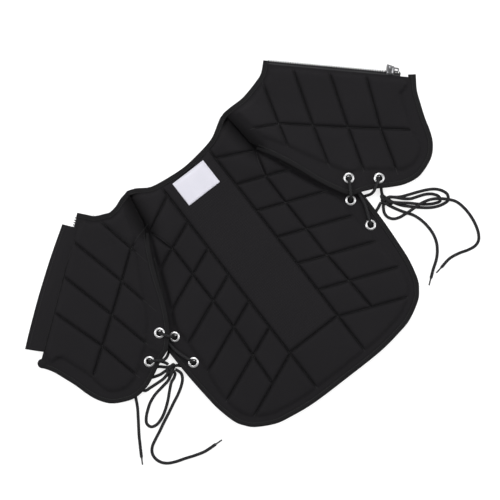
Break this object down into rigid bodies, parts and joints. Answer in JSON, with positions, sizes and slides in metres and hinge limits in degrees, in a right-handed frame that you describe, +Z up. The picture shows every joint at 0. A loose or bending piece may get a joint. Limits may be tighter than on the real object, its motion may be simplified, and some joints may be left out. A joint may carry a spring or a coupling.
{
  "type": "equestrian body protector",
  "caption": "Child's quilted foam riding vest laid open with its lining up: back, swung-out zip fronts, bound edges, laced sides tied in bows.",
  "frame": {"origin": "on the ground under the middle of the back panel, half way from the back of the neck to the hem", "axes": "+Y from the hem to the neck, +X to the front with the zip slider, +Z up from the ground to the lining side"},
  "size_m": [0.762, 0.4822, 0.0383],
  "materials": {
    "quilted_fabric": "matt knitted mesh",
    "binding_tape": "ribbed woven tape",
    "label_cloth": "satin woven",
    "eyelet_metal": "bright nickel plate",
    "zip_tape": "woven tape",
    "zip_teeth": "moulded",
    "zip_metal": "satin",
    "lace_cord": "round braid",
    "lace_tip": "smooth"
  },
  "bodies": {
    "vest": {"back_panel": "quilted_fabric", "front_panel_right": "quilted_fabric", "front_panel_left": "quilted_fabric", "back_binding": "binding_tape", "neck_binding": "binding_tape", "front_binding_right": "binding_tape", "front_binding_left": "binding_tape", "neck_label": "label_cloth", "eyelet_front_right_upper": "eyelet_metal", "eyelet_front_right_lower": "eyelet_metal", "eyelet_back_right_upper": "eyelet_metal", "eyelet_back_right_lower": "eyelet_metal", "eyelet_front_left_upper": "eyelet_metal", "eyelet_front_left_lower": "eyelet_metal", "eyelet_back_left_upper": "eyelet_metal", "eyelet_back_left_lower": "eyelet_metal", "zip_tape_right": "zip_tape", "zip_tape_left": "zip_tape", "zip_teeth_right": "zip_teeth", "zip_teeth_left": "zip_teeth", "zip_flap": "binding_tape", "lacing_right": "lace_cord", "lacing_left": "lace_cord", "lace_knot_right": "lace_cord", "lace_knot_left": "lace_cord", "lace_loop_right_a": "lace_cord", "lace_loop_right_b": "lace_cord", "lace_loop_left_a": "lace_cord", "lace_loop_left_b": "lace_cord", "lace_tail_right_a": "lace_cord", "lace_tail_right_b": "lace_cord", "lace_tail_left_a": "lace_cord", "lace_tail_left_b": "lace_cord", "lace_tip_right_a": "lace_tip", "lace_tip_right_b": "lace_tip", "lace_tip_left_a": "lace_tip", "lace_tip_left_b": "lace_tip"},
    "slider": {"zip_slider": "zip_metal"},
    "pull": {"zip_pull": "zip_metal"}
  },
  "joints": [
    {"name": "zip_slide", "type": "slide", "parent": "vest", "child": "slider", "axis": [-0.731, 0.6824, 0], "range_m": [0, 0.18]},
    {"name": "pull_swing", "type": "hinge", "parent": "slider", "child": "pull", "pos_m": [0.35782, 0.13549, 0.00295], "axis": [0.6824, 0.731, 0], "range_deg": [0, 165]}
  ]
}
